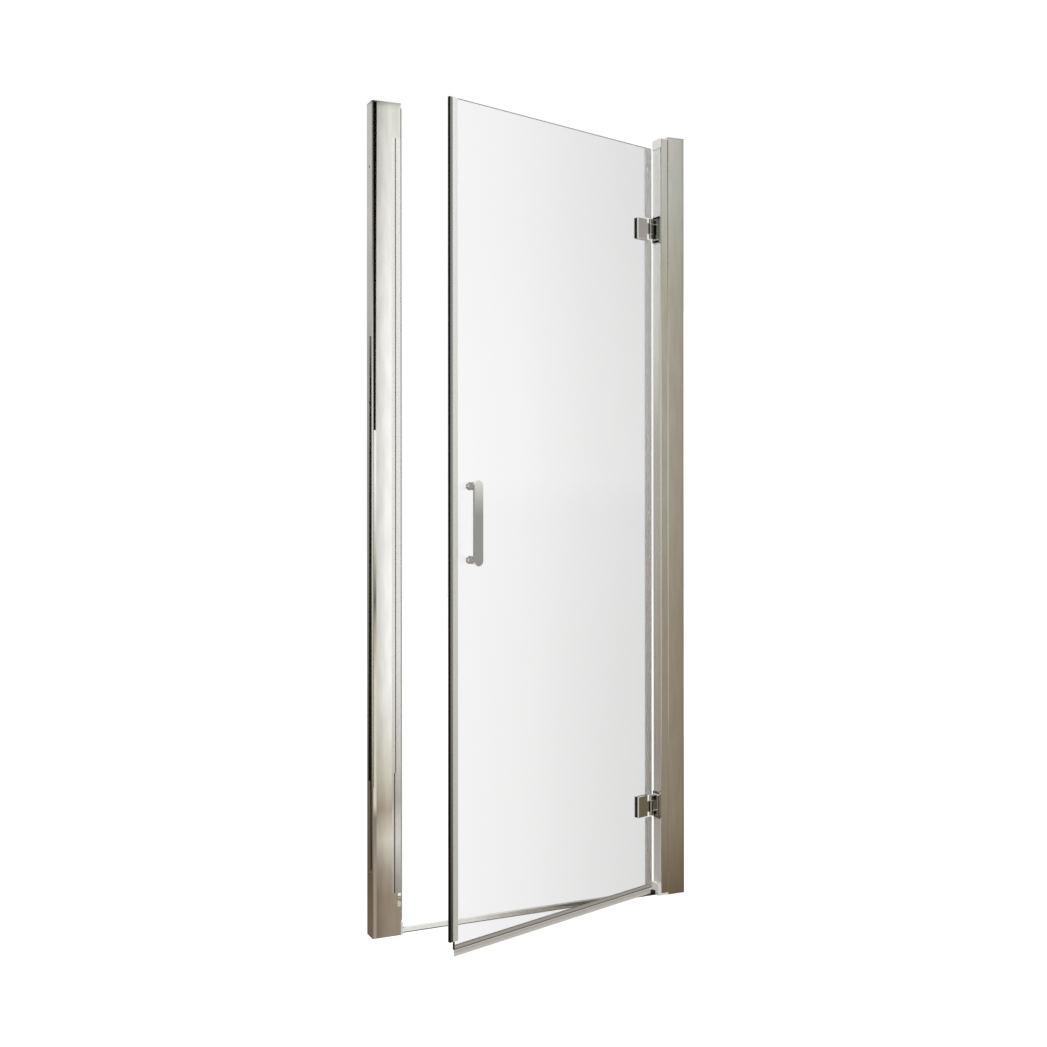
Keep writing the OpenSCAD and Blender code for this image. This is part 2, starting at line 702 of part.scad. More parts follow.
// Glass with its two hinge cut-outs and two handle holes
module glass_panel() {
    color("#cfe0dc", 0.4) on_door() slab_y(-half_glass, half_glass) difference() {
        translate([-glass_end, glass_bottom])
            rounded_rect(glass_end - glass_edge_gap, glass_top - glass_bottom, glass_corner_r);
        for (z = [lower_hinge_z, upper_hinge_z]) translate([0, z]) {
            translate([-barrel_slot_a, -barrel_slot_h / 2]) square([2 * barrel_slot_a, barrel_slot_h]);
            translate([-block_slot_a, -block_slot_h / 2]) rounded_rect(2 * block_slot_a, block_slot_h, 4);
        }
        for (s = [-1, 1]) translate([-handle_a, handle_z + s * handle_centres / 2])
            circle(d = handle_hole_d);
    }
}

// Soft profiles on the glass
module leading_seal_outline() {
    body = lead_body_t / 2;
    back = -glass_end - seal_wall;
    side = half_glass + seal_wall;
    lap = lead_lap - glass_end;
    pocket = lead_body_t - 2 * seal_wall;
    difference() {
        polygon([[magnet_face_t - door_reach, -body], [back, -body], [back, -side], [lap, -side],
                 [lap, -half_glass], [-glass_end, -half_glass], [-glass_end, half_glass], [lap, half_glass],
                 [lap, side], [back, side], [back, body], [magnet_face_t - door_reach, body]]);
        translate([-door_reach, -pocket / 2]) square([magnet_d, pocket]);
        translate([back - 3, -pocket / 2]) square([2, pocket]);
    }
}

module leading_seal() {
    color("#b9bab5") on_door(lead_bottom) linear_extrude(glass_top - lead_bottom) leading_seal_outline();
}

module leading_magnet() {
    pocket = lead_body_t - 2 * seal_wall;
    color("#141414") on_door(lead_bottom) linear_extrude(glass_top - lead_bottom) {
        translate([-door_reach, -lead_body_t / 2]) square([magnet_face_t, lead_body_t]);
        translate([-door_reach, -pocket / 2]) square([magnet_d, pocket]);
    }
}

module edge_seal_outline() {
    for (s = [0, 1]) mirror([0, s]) translate([-glass_edge_gap - edge_lap, half_glass])
        square([edge_lap, seal_wall]);
    translate([-glass_edge_gap, -half_glass - seal_wall]) square([seal_wall, glass_t + 2 * seal_wall]);
    translate([seal_wall - glass_edge_gap, 0]) intersection() {
        circle(half_glass);
        translate([0, -half_glass]) square([half_glass, glass_t]);
    }
}

// Seal on the hinge-side edge, cut at the hinges
module hinge_edge_seal() {
    reach = barrel_slot_h / 2 + plate_clear;
    ends = [drip_top + plate_clear, lower_hinge_z - reach, lower_hinge_z + reach,
            upper_hinge_z - reach, upper_hinge_z + reach, glass_top];
    color("#b4b5b0") for (i = [0, 2, 4]) on_door(ends[i])
        linear_extrude(ends[i + 1] - ends[i]) edge_seal_outline();
}

// Drip seal: a channel on the lower edge of the glass with a fin that sweeps over the threshold
module drip_seal() {
    l = glass_end - glass_edge_gap - 2 * drip_inset;
    low = glass_bottom - 1.5;
    side = half_glass + seal_wall;
    fin = drip_fin_t / 2;
    color("#b4b1a8") on_door() translate([-glass_end + drip_inset, 0, 0])
        rotate([90, 0, 90]) linear_extrude(l)
            polygon([[-side, low], [-fin, low], [-fin, drip_edge], [fin, drip_edge], [fin, low],
                     [side, low], [side, drip_top], [half_glass, drip_top], [half_glass, glass_bottom],
                     [-half_glass, glass_bottom], [-half_glass, drip_top], [-side, drip_top]]);
}

// Handle: a flat bar with round ends on two posts, fixed through the glass from the inside
module at_posts() {
    for (s = [-1, 1]) translate([-handle_a, 0, handle_z + s * handle_centres / 2])
        rotate([90, 0, 0]) children();
}

module handle_bar() {
    run = handle_l - handle_w;
    r = handle_w / 2;
    b = handle_bevel;
    color("#b9b9b4") on_door() translate([-handle_a, handle_back_y, handle_z]) rotate([90, 0, 0]) {
        translate([0, run / 2, 0]) rotate([90, 0, 0]) linear_extrude(run)
            polygon([[-r, b], [b - r, 0], [r - b, 0], [r, b], [r, handle_t - b], [r - b, handle_t],
                     [b - r, handle_t], [-r, handle_t - b]]);
        for (s = [-1, 1]) translate([0, s * run / 2, 0]) rotate_extrude($fn = 96)
            polygon([[0, 0], [r - b, 0], [r, b], [r, handle_t - b], [r - b, handle_t], [0, handle_t]]);
    }
}

module handle_posts() {
    base = half_glass + washer_t;
    color("#b0b0ab") on_door() at_posts() difference() {
        translate([0, 0, base]) cylinder(d = post_d, h = -handle_back_y - base);
        translate([0, 0, base - 1]) cylinder(d = handle_screw_d + 2 * screw_gap, h = thread_l + 1.5);
    }
}

module handle_washers() {
    color("#c9c9c4") on_door() at_posts() for (z = [half_glass, -half_glass - washer_t])
        translate([0, 0, z]) difference() {
            cylinder(d = post_d, h = washer_t);
            translate([0, 0, -1]) cylinder(d = handle_screw_d + 2 * screw_gap, h = washer_t + 2);
        }
}

module handle_sleeves() {
    color("#d8d8d2") on_door() at_posts() translate([0, 0, -half_glass]) difference() {
        cylinder(d = handle_hole_d - 0.2, h = glass_t);
        translate([0, 0, -1]) cylinder(d = handle_screw_d + 2 * screw_gap, h = glass_t + 2);
    }
}

module handle_screws() {
    back = half_glass + washer_t;
    color("#a9a9a6") on_door() at_posts() difference() {
        union() {
            translate([0, 0, -back]) cylinder(d = handle_screw_d, h = 2 * back + thread_l);
            translate([0, 0, -back - screw_head_h]) cylinder(r = screw_head_r, h = screw_head_h);
        }
        translate([0, 0, -back - screw_head_h - 1])
            cylinder(d = 0.6 * handle_screw_d, h = 1 + screw_head_h / 2, $fn = 6);
    }
}

module handle_caps() {
    back = half_glass + washer_t;
    rim = 1;
    color("#b9b9b4") on_door() at_posts() mirror([0, 0, 1]) translate([0, 0, back]) difference() {
        union() {
            cylinder(d = post_d, h = inner_cap_d - rim);
            translate([0, 0, inner_cap_d - rim]) cylinder(d1 = post_d, d2 = post_d - 2 * rim, h = rim);
        }
        translate([0, 0, -1]) cylinder(r = screw_head_r + 0.3, h = screw_head_h + 1.3);
    }
}

color("#bdbebb") at_strike_wall() channel(strike_channel_w);  // strike_wall_channel
color("#bdbebb") at_hinge_wall() channel(hinge_channel_w);  // hinge_wall_channel
color("#b6b7b4") at_strike_wall() channel_cap(strike_channel_w);  // strike_channel_cap
color("#b6b7b4") at_hinge_wall() channel_cap(hinge_channel_w);  // hinge_channel_cap
color("#9fa09d") at_strike_wall() adjust_screws(strike_channel_w);  // strike_adjust_screws
color("#9fa09d") at_hinge_wall() adjust_screws(hinge_channel_w);  // hinge_adjust_screws
color("#8f908d") at_strike_wall() adjust_nuts(strike_channel_w);  // strike_adjust_nuts
color("#8f908d") at_hinge_wall() adjust_nuts(hinge_channel_w);  // hinge_adjust_nuts
strike_jamb();
hinge_jamb();
jamb_top_block();
strike_corner_block();
hinge_corner_block();
threshold();
threshold_rubber_stop();
jamb_seal_strip();
strike_seal();
strike_magnet();
color("#8d8d8a") on_axis(upper_hinge_z) wall_plate();  // upper_wall_plate
color("#8d8d8a") on_axis(lower_hinge_z) wall_plate();  // lower_wall_plate
color("#9b9b98") on_axis(upper_hinge_z) plate_cover();  // upper_plate_cover
color("#9b9b98") on_axis(lower_hinge_z) plate_cover();  // lower_plate_cover
color("#a9a9a6") on_axis(upper_hinge_z) plate_screws();  // upper_plate_screws
color("#a9a9a6") on_axis(lower_hinge_z) plate_screws();  // lower_plate_screws
color("#84847f") on_axis(upper_hinge_z) nut_plate();  // upper_nut_plate
color("#84847f") on_axis(lower_hinge_z) nut_plate();  // lower_nut_plate
color("#a9a9a6") on_axis(upper_hinge_z) hinge_pin();  // upper_hinge_pin
color("#a9a9a6") on_axis(lower_hinge_z) hinge_pin();  // lower_hinge_pin
glass_panel();
color("#9a9690") on_door(upper_hinge_z) hinge_leaf(-clamp_shift);  // upper_hinge_leaf
color("#9a9690") on_door(lower_hinge_z) hinge_leaf(clamp_shift);  // lower_hinge_leaf
color("#e4e4de") on_door(upper_hinge_z) hinge_bushes();  // upper_hinge_bushes
color("#e4e4de") on_door(lower_hinge_z) hinge_bushes();  // lower_hinge_bushes
color("#9a9690") on_door(upper_hinge_z) clamp_plate(-clamp_shift);  // upper_clamp_plate
color("#9a9690") on_door(lower_hinge_z) clamp_plate(clamp_shift);  // lower_clamp_plate
color("#2a2a28") on_door(upper_hinge_z) clamp_gaskets(-clamp_shift);  // upper_clamp_gaskets
color("#2a2a28") on_door(lower_hinge_z) clamp_gaskets(clamp_shift);  // lower_clamp_gaskets
color("#a9a9a6") on_door(upper_hinge_z) clamp_screws();  // upper_clamp_screws
color("#a9a9a6") on_door(lower_hinge_z) clamp_screws();  // lower_clamp_screws
leading_seal();
leading_magnet();
hinge_edge_seal();
drip_seal();
handle_bar();
handle_posts();
handle_washers();
handle_sleeves();
handle_screws();
handle_caps();
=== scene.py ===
import json
import math

import bmesh
import bpy
from mathutils import Matrix, Vector


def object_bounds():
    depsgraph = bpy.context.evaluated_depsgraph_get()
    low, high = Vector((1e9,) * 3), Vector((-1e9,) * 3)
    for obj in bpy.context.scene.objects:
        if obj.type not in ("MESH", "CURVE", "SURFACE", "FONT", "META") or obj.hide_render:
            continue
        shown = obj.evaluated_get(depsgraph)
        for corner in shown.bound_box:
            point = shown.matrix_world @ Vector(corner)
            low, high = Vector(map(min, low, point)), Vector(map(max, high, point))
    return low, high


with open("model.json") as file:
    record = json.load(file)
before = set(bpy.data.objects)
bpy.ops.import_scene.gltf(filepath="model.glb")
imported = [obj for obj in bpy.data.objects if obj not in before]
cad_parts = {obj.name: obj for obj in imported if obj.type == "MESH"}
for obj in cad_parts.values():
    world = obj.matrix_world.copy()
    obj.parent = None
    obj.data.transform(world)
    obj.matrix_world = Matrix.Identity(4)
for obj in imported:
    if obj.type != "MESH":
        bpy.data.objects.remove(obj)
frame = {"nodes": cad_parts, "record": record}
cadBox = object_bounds()
nodes = frame["nodes"]
mm = 0.001
partHeight = cadBox[1][2]
print("frame loaded:", len(nodes), "pieces")


def srgb(code):
    # "#rrggbb" as a linear colour
    values = [int(code[i:i + 2], 16) / 255 for i in (1, 3, 5)]
    return [v / 12.92 if v <= 0.04045 else ((v + 0.055) / 1.055) ** 2.4 for v in values] + [1.0]


def addNode(tree, kind, inputs=None, links=None, stops=None, **settings):
    # one node with its settings, fixed inputs, links and, on a ramp, its stops; a colour may be "#rrggbb"
    node = tree.nodes.new(kind)
    for name, value in settings.items():
        setattr(node, name, value)
    for name, value in (inputs or {}).items():
        node.inputs[name].default_value = srgb(value) if isinstance(value, str) else value
    for name, source in (links or {}).items():
        tree.links.new(source, node.inputs[name])
    if stops:
        elements = node.color_ramp.elements
        while len(elements) < len(stops):
            elements.new(0.5)
        for element, (place, code) in zip(elements, stops):
            element.position = place
            element.color = srgb(code)
    return node


def newMaterial(name):
    made = bpy.data.materials.new(name)
    made.use_nodes = True
    made.node_tree.nodes.clear()
    return made, made.node_tree


def addObject(name, data):
    made = bpy.data.objects.new(name, data)
    bpy.context.scene.collection.objects.link(made)
    return made


camera = {
    "place": (-1.2986, -2.7890, 1.0033),
    "yaw": 24.55,  # degrees from +Y towards +X
    "pitch": 0.067,
    "roll": -0.036,
    "focalPixels": 1312.0,
    "imagePixels": 1047.0,
    "horizonShift": 41.3,  # pixels the picture's centre lies under the camera's axis
    "sensorWidth": 36.0,
    "seenFrom": 0.05,
    "seenTo": 60.0,
}


def makeCamera():
    data = bpy.data.cameras.new("productCamera")
    data.sensor_width = camera["sensorWidth"]
    data.lens = camera["focalPixels"] / camera["imagePixels"] * data.sensor_width
    data.shift_y = -camera["horizonShift"] / camera["imagePixels"]
    data.clip_start = camera["seenFrom"]
    data.clip_end = camera["seenTo"]
    made = addObject("productCamera", data)
    yaw, pitch, roll = (math.radians(camera[k]) for k in ("yaw", "pitch", "roll"))
    forward = Vector((math.sin(yaw) * math.cos(pitch), math.cos(yaw) * math.cos(pitch), math.sin(pitch)))
    levelRight = Vector((math.cos(yaw), -math.sin(yaw), 0))
    levelUp = levelRight.cross(forward)
    right = levelRight * math.cos(roll) + levelUp * math.sin(roll)
    up = right.cross(forward)
    turn = Matrix((right, up, -forward)).transposed()
    made.matrix_world = Matrix.Translation(camera["place"]) @ turn.to_4x4()
    bpy.context.scene.camera = made


makeCamera()
print("camera placed")

studio = {
    "lightLevel": 0.78,  # what matt surfaces get from all round
    "backdrop": "#ffffff",
    "lamps": {  # power in watts, place, size
        "softKey": (100.0, (-2.6, -3.6, 3.8), 2.4),
        "softFill": (110.0, (1.1, 4.3, 2.2), 2.4),
    },
    "lampAim": (0, 0, 0.9),
    "floorSide": 16.0,
    "floorDrop": 0.5 * mm,  # keeps the floor clear of the undersides
    "floorGlow": 0.90,
    "floorTone": "#8c8c8b",
    "surroundRadius": 7.0,
    "panelWidth": 1.0,  # degrees of each flat panel in a curved sheet
    "leastPanels": 2,
    "polishTone": 0.87,  # the share of light that the polished metals send back
    "rippleScale": (7.0, 26.0, 1.0),  # folds along a sheet's width and up its height
    "rippleTurn": (0, 0, 0.5),
}
noiseSpan = (0.3, 0.7)  # nearly all of a noise's values lie between these

# what the polished metal sees: curved sheets round the object, each from one bearing to the next in degrees
# from +X and between two heights in metres, with its tones from the bottom up. Some have other bearings at
# the head, a fade along the width or a ripple in their brightness. The nearest has no gap to the surround's
# radius.
reflectors = {
    "roomAllRound": dict(
        bearings=(-180, 180), heights=(-8.0, 5.4), gap=0.06,
        tones=((0.0, "#fbfbfa"), (0.25, "#e6e3de"), (0.348, "#b3aba0"), (0.405, "#7d6f5f"),
               (0.441, "#6a5b48"), (0.499, "#857a68"), (0.549, "#b0aca0"), (0.606, "#bab6ab"),
               (0.67, "#d6d4cc"), (0.713, "#cfcdc6"), (0.778, "#a2a19b"), (0.821, "#7a7974"),
               (0.855, "#5c5b57"), (0.88, "#2a2927"), (0.928, "#6d6c69"), (1.0, "#efefed"))),
    "brightWindow": dict(
        bearings=(-75.3, -73.2), heights=(-2.6, 4.0), gap=0.015, ripple=0.06,
        tones=((0.0, "#8f8273"), (0.07, "#928575"), (0.1, "#a1968a"), (0.137, "#d0ccc0"),
               (0.171, "#aca092"), (0.205, "#cbc6b9"), (0.24, "#d8d5cc"), (0.3, "#efeeea"),
               (0.42, "#f4f4f3"), (0.72, "#f4f4f4"), (0.85, "#e9e8e4"), (0.979, "#d9d9d2"),
               (0.985, "#b2b2ad"), (1.0, "#a8a8a3")),
        fade=((0.0, "#d9d8d6"), (0.19, "#d9d8d6"), (0.31, "#e5e5e3"), (0.38, "#efeeed"),
              (0.45, "#f8f8f7"), (0.56, "#ffffff"))),
    "windowReveal": dict(
        bearings=(-75.3, -74.94), heights=(-2.6, 1.41), gap=0.01,
        tones=((0.0, "#9b9082"), (0.18, "#978c7e"), (0.23, "#8d8172"), (0.267, "#857a6b"),
               (0.291, "#cfc8ba"), (0.4, "#d3cec2"), (0.52, "#d7d1c1"), (0.63, "#a8a294"),
               (0.677, "#6c685d"), (0.724, "#9a968b"), (0.756, "#b5b1a6"), (0.842, "#dedcd6"),
               (0.905, "#eeeeea"), (1.0, "#edece7"))),
    "windowFrame": dict(
        bearings=(-75.3, -74.97), headBearings=(-75.3, -74.88), heights=(1.41, 4.6), gap=0.005,
        tones=((0.0, "#16140f"), (1.0, "#080705"))),
    "windowStay": dict(
        bearings=(-75.18, -75.1), heights=(-1.3, 1.41), gap=0.0,
        tones=((0.0, "#5a5348"), (1.0, "#3a362c"))),
    "warmPost": dict(
        bearings=(-57.23, -55.6), heights=(-2.7, 4.1), gap=0.01, ripple=0.05,
        tones=((0.0, "#574a3a"), (0.08, "#655847"), (0.11, "#746755"), (0.14, "#7e7362"),
               (0.18, "#887f6e"), (0.3, "#8e8476"), (0.41, "#938b7d"), (0.53, "#9e978b"),
               (0.64, "#a19c90"), (0.76, "#a6a296"), (0.87, "#b5b5ad"), (0.94, "#bbb9b3"),
               (0.975, "#b4b3ad"), (1.0, "#9a9a94")),
        fade=((0.0, "#ffffff"), (0.33, "#fefefd"), (0.53, "#f8f8f7"), (0.77, "#f3f3f2"),
              (0.84, "#e4e4e2"), (1.0, "#d6d6d3"))),
    "paleSkirting": dict(
        bearings=(-73.1, -57.3), heights=(-3.3, -1.97), gap=0.03,
        tones=((0.0, "#dfded9"), (1.0, "#eceae5"))),
    "paleHall": dict(
        bearings=(-54.0, 104.0), heights=(-8.0, 5.4), gap=0.055,
        tones=((0.0, "#ffffff"), (0.25, "#eeece8"), (0.42, "#d2cec6"), (0.53, "#ecebe7"),
               (0.71, "#fbfbf9"), (1.0, "#fdfdfc")),
        fade=((0.0, "#ffffff"), (0.33, "#ffffff"), (0.44, "#c9c8c4"), (0.56, "#e6e6e3"),
              (0.66, "#c2c1bc"), (0.76, "#e2e2df"), (0.88, "#bdbcb7"), (1.0, "#d8d7d4"))),
    "softPanel": dict(
        bearings=(-40.0, -16.0), heights=(-3.2, 5.2), gap=0.02,
        tones=((0.0, "#4a4232"), (0.212, "#685f4e"), (0.36, "#7d766a"), (0.432, "#989692"),
               (0.472, "#989794"), (0.4857, "#b3b2ae"), (0.4946, "#cac9c4"), (0.505, "#e4e4dd"),
               (0.6, "#d4d4cc"), (0.73, "#9c9892"), (1.0, "#8a8680"))),
    "greyWall": dict(
        bearings=(106.0, 111.12), heights=(-2.6, 4.0), gap=0.02, ripple=0.05,
        tones=((0.0, "#5a4e46"), (0.05, "#6b5d52"), (0.1, "#5a5044"), (0.24, "#5e5c4f"),
               (0.3, "#67675d"), (0.436, "#86867e"), (0.574, "#908f8a"), (0.712, "#a2a39d"),
               (0.85, "#b8b7b2"), (0.974, "#bdbcb7"), (0.98, "#62615e"), (1.0, "#4b4a47"))),
    "darkDoorway": dict(
        bearings=(110.9, 111.09), headBearings=(110.98, 111.09), heights=(-1.2, 2.1), gap=0.0,
        tones=((0.0, "#0f0e0b"), (0.9, "#0d0c0a"), (1.0, "#5a5955"))),
    "darkDoorstep": dict(
        bearings=(111.03, 111.1), headBearings=(111.0, 111.1), heights=(-1.86, -1.2), gap=0.0,
        tones=((0.0, "#0c0b09"), (0.5, "#241f1a"), (1.0, "#1b1915"))),
    "sideWall": dict(
        bearings=(117.0, 119.0), heights=(-2.7, 4.1), gap=0.02,
        tones=((0.0, "#aeaea6"), (0.11, "#a8a7a2"), (0.156, "#9f9c93"), (0.237, "#938a81"),
               (0.352, "#978f84"), (0.468, "#a39f96"), (0.583, "#aba79c"), (0.7, "#b8b4ab"),
               (0.815, "#c8c7c2"), (1.0, "#cfcecb"))),
    "cupboardAbove": dict(
        bearings=(117.0, 119.0), heights=(2.9, 3.115), gap=0.0,
        tones=((0.0, "#0e0d0b"), (1.0, "#100f0d"))),
    "cupboardBelow": dict(
        bearings=(117.0, 119.0), heights=(-1.64, -1.42), gap=0.0,
        tones=((0.0, "#4c483f"), (1.0, "#524d45"))),
    "reedLeft": dict(
        bearings=(-149.3, -148.17), heights=(-1.95, 3.32), gap=0.03,
        tones=((0.0, "#84817a"), (1.0, "#a09f99"))),
    "reedRight": dict(
        bearings=(28.2, 30.0), heights=(-1.95, 3.32), gap=0.03,
        tones=((0.0, "#8c8a83"), (1.0, "#aeada6"))),
    "reedByBarrel": dict(
        bearings=(-138.0, -119.0), heights=(-8.0, 5.4), gap=0.03,
        tones=((0.0, "#f6f5f3"), (0.3, "#b5ada2"), (0.43, "#8d8477"), (0.47, "#c6c4bc"),
               (0.55, "#c6c4bc"), (0.78, "#d8d7d1"), (0.86, "#dcdbd6"), (1.0, "#efefed"))),
    "reedByClamp": dict(
        bearings=(-111.03, -109.5), heights=(-8.0, 5.4), gap=0.03,
        tones=((0.0, "#f6f5f3"), (0.3, "#b5ada2"), (0.43, "#8d8477"), (0.47, "#c6c4bc"),
               (0.55, "#c6c4bc"), (0.78, "#d8d7d1"), (0.86, "#dcdbd6"), (1.0, "#efefed"))),
}

# dark stretches of cornice and skirting, which the hinges show; between them the posts mirror a clear room
darkBearings = ((62, 68), (178, 222), (242, 254), (288, 350))
darkBands = {
    "darkCornice": dict(
        heights=(2.3, 3.65), gap=0.05,
        tones=((0.0, "#a8a7a1"), (0.30, "#0d0c0a"), (0.72, "#0b0a09"), (1.0, "#4a4947"))),
    "darkSkirting": dict(
        heights=(-2.2, -0.9), gap=0.05,
        tones=((0.0, "#6c5f4d"), (0.28, "#0c0a08"), (0.72, "#0e0c0a"), (1.0, "#9f998c"))),
}
for bandName, band in darkBands.items():
    for number, stretch in enumerate(darkBearings, 1):
        reflectors[f"{bandName}{number}"] = dict(bearings=stretch, **band)


def makeWorld():
    world = bpy.data.worlds.new("paleStudio")
    bpy.context.scene.world = world
    world.use_nodes = True
    tree = world.node_tree
    tree.nodes.clear()
    path = addNode(tree, "ShaderNodeLightPath")
    shiny = addNode(tree, "ShaderNodeMath", operation="MAXIMUM",
                    links={0: path.outputs["Is Glossy Ray"], 1: path.outputs["Is Transmission Ray"]})
    seen = addNode(tree, "ShaderNodeMath", operation="MAXIMUM",
                   links={0: path.outputs["Is Camera Ray"], 1: shiny.outputs[0]})
    level = addNode(tree, "ShaderNodeBackground",
                    inputs={"Color": studio["backdrop"], "Strength": studio["lightLevel"]})
    white = addNode(tree, "ShaderNodeBackground", inputs={"Color": studio["backdrop"], "Strength": 1.0})
    mixed = addNode(tree, "ShaderNodeMixShader",
                    links={0: seen.outputs[0], 1: level.outputs[0], 2: white.outputs[0]})
    addNode(tree, "ShaderNodeOutputWorld", links={"Surface": mixed.outputs[0]})


def makeLamp(name, power, place, size):
    data = bpy.data.lights.new(name, "AREA")
    data.shape = "DISK"
    data.size = size
    data.energy = power
    made = addObject(name, data)
    made.location = place
    aim = Vector(studio["lampAim"]) - made.location
    made.rotation_euler = aim.to_track_quat("-Z", "Y").to_euler()
    made.visible_glossy = made.visible_transmission = False


def makeFloor():
    # a matt floor that takes the shadow, with a glow that only the camera sees
    shape = bmesh.new()
    bmesh.ops.create_grid(shape, x_segments=1, y_segments=1, size=studio["floorSide"] / 2)
    data = bpy.data.meshes.new("paleFloor")
    shape.to_mesh(data)
    shape.free()
    made = addObject("paleFloor", data)
    made.location.z = -studio["floorDrop"]
    paint, tree = newMaterial("paleFloorPaint")
    path = addNode(tree, "ShaderNodeLightPath")
    matt = addNode(tree, "ShaderNodeBsdfDiffuse", inputs={"Color": studio["floorTone"]})
    strength = addNode(tree, "ShaderNodeMath", operation="MULTIPLY", inputs={1: studio["floorGlow"]},
                       links={0: path.outputs["Is Camera Ray"]})
    glow = addNode(tree, "ShaderNodeEmission", links={"Strength": strength.outputs[0]})
    both = addNode(tree, "ShaderNodeAddShader", links={0: matt.outputs[0], 1: glow.outputs[0]})
    addNode(tree, "ShaderNodeOutputMaterial", links={"Surface": both.outputs[0]})
    data.materials.append(paint)
    paint.cycles.emission_sampling = "NONE"
    made.visible_glossy = made.visible_transmission = False


def makeSheet(name, columns):
    # an upright sheet through pairs of low and high points, its UV along its width and up its height
    shape = bmesh.new()
    uvLayer = shape.loops.layers.uv.new("across")
    corners = [[shape.verts.new(point) for point in column] for column in columns]
    count = len(columns) - 1
    for i in range(count):
        (low, high), (nextLow, nextHigh) = corners[i:i + 2]
        face = shape.faces.new((low, nextLow, nextHigh, high))
        for loop, uv in zip(face.loops, ((i, 0), (i + 1, 0), (i + 1, 1), (i, 1))):
            loop[uvLayer].uv = (uv[0] / count, uv[1])
    data = bpy.data.meshes.new(name)
    shape.to_mesh(data)
    shape.free()
    return addObject(name, data)


def coverSheet(made, tones, fade=None, level=1.0, ripple=0.0):
    # cotton that glows by itself and lights nothing, with tones up its height, a fade sideways and a ripple
    paint, tree = newMaterial(made.name + "Cotton")
    across = addNode(tree, "ShaderNodeUVMap", uv_map="across").outputs[0]
    split = addNode(tree, "ShaderNodeSeparateXYZ", links={0: across})
    colour = addNode(tree, "ShaderNodeValToRGB", stops=tones, links={0: split.outputs["Y"]}).outputs[0]
    if fade:
        sideways = addNode(tree, "ShaderNodeValToRGB", stops=fade, links={0: split.outputs["X"]})
        colour = addNode(tree, "ShaderNodeMix", data_type="RGBA", blend_type="MULTIPLY", inputs={0: 1.0},
                         links={6: colour, 7: sideways.outputs[0]}).outputs[2]
    glow = addNode(tree, "ShaderNodeEmission", inputs={"Strength": level}, links={"Color": colour})
    if ripple:
        turned = addNode(tree, "ShaderNodeMapping", links={"Vector": across},
                         inputs={"Scale": studio["rippleScale"], "Rotation": studio["rippleTurn"]})
        folds = addNode(tree, "ShaderNodeTexNoise", inputs={"Scale": 1.0, "Detail": 2.0},
                        links={"Vector": turned.outputs[0]})
        strength = addNode(tree, "ShaderNodeMapRange", links={"Value": folds.outputs[0]}, inputs={
            "From Min": noiseSpan[0], "From Max": noiseSpan[1],
            "To Min": level * (1 - ripple), "To Max": level * (1 + ripple)})
        tree.links.new(strength.outputs[0], glow.inputs["Strength"])
    addNode(tree, "ShaderNodeOutputMaterial", links={"Surface": glow.outputs[0]})
    paint.cycles.emission_sampling = "NONE"
    made.data.materials.append(paint)


def makeReflector(name, bearings, heights, gap, tones, headBearings=None, fade=None, ripple=0.0):
    radius = studio["surroundRadius"] + gap
    count = max(studio["leastPanels"], int((bearings[1] - bearings[0]) / studio["panelWidth"]))
    columns = []
    for i in range(count + 1):
        turns = [math.radians(first + (last - first) * i / count)
                 for first, last in (bearings, headBearings or bearings)]
        columns.append([(radius * math.cos(turn), radius * math.sin(turn), z)
                        for turn, z in zip(turns, heights)])
    made = makeSheet(name, columns)
    coverSheet(made, tones, fade, 1 / studio["polishTone"], ripple)
    made.visible_camera = made.visible_diffuse = made.visible_transmission = made.visible_shadow = False


# the pale cloth that shows through the glass, white at its ends; its grey behind the hinge side is painted
# shade
glassCloth = {
    "distance": 4.5,
    "across": (-4.0, 7.0),
    "heights": (-5.0, 7.0),
    "upward": ((0.0, "#ffffff"), (1.0, "#ffffff")),
    # the grey stops towards the hinge side are painted shade seen through the glass
    "sideways": ((0.0, "#ffffff"), (0.50, "#fefefe"), (0.546, "#f8f8f8"), (0.583, "#eeeeee"),
                 (0.609, "#e8e8e8"), (0.63, "#e4e4e4"), (0.69, "#e2e2e2"), (0.85, "#ffffff")),
}


def makeGlassCloth():
    look = glassCloth
    columns = [[(x, look["distance"], z) for z in look["heights"]] for x in look["across"]]
    made = makeSheet("glassCloth", columns)
    coverSheet(made, look["upward"], look["sideways"])
    made.visible_camera = made.visible_diffuse = made.visible_glossy = made.visible_shadow = False


makeWorld()
for lampName, lamp in studio["lamps"].items():
    makeLamp(lampName, *lamp)
makeFloor()
for reflectorName, reflector in reflectors.items():
    makeReflector(reflectorName, **reflector)
makeGlassCloth()
print("studio lit")


def objectPlace(tree, scale=(1, 1, 1)):
    # the piece's own coordinates, scaled to a pattern's size per metre
    place = addNode(tree, "ShaderNodeTexCoord")
    return addNode(tree, "ShaderNodeMapping", inputs={"Scale": scale},
                   links={"Vector": place.outputs["Object"]}).outputs[0]


def objectNoise(tree, size, detail):
    # a noise that stays with the piece, its grains of the given size along X, Y and Z
    return addNode(tree, "ShaderNodeTexNoise", inputs={"Scale": 1.0, "Detail": detail},
                   links={"Vector": objectPlace(tree, [1 / side for side in size])}).outputs[0]


def toneAlong(tree, tones, axis="Z", start=0.0, end=partHeight):
    # tones along one of the piece's axes, their places in metres
    place = addNode(tree, "ShaderNodeSeparateXYZ", links={0: objectPlace(tree)})
    share = addNode(tree, "ShaderNodeMapRange", inputs={"From Min": start, "From Max": end},
                    links={"Value": place.outputs[axis]})
    stops = [((at - start) / (end - start), code) for at, code in tones]
    return addNode(tree, "ShaderNodeValToRGB", stops=stops, links={0: share.outputs[0]}).outputs[0]


openDoor = {
    "hingeAxis": (0.317, 0.0, 0.0),
    "angle": 18.7,  # degrees that the door stands open in the frame's own pose
    "farAway": 2.0,  # beyond any place on the door
}


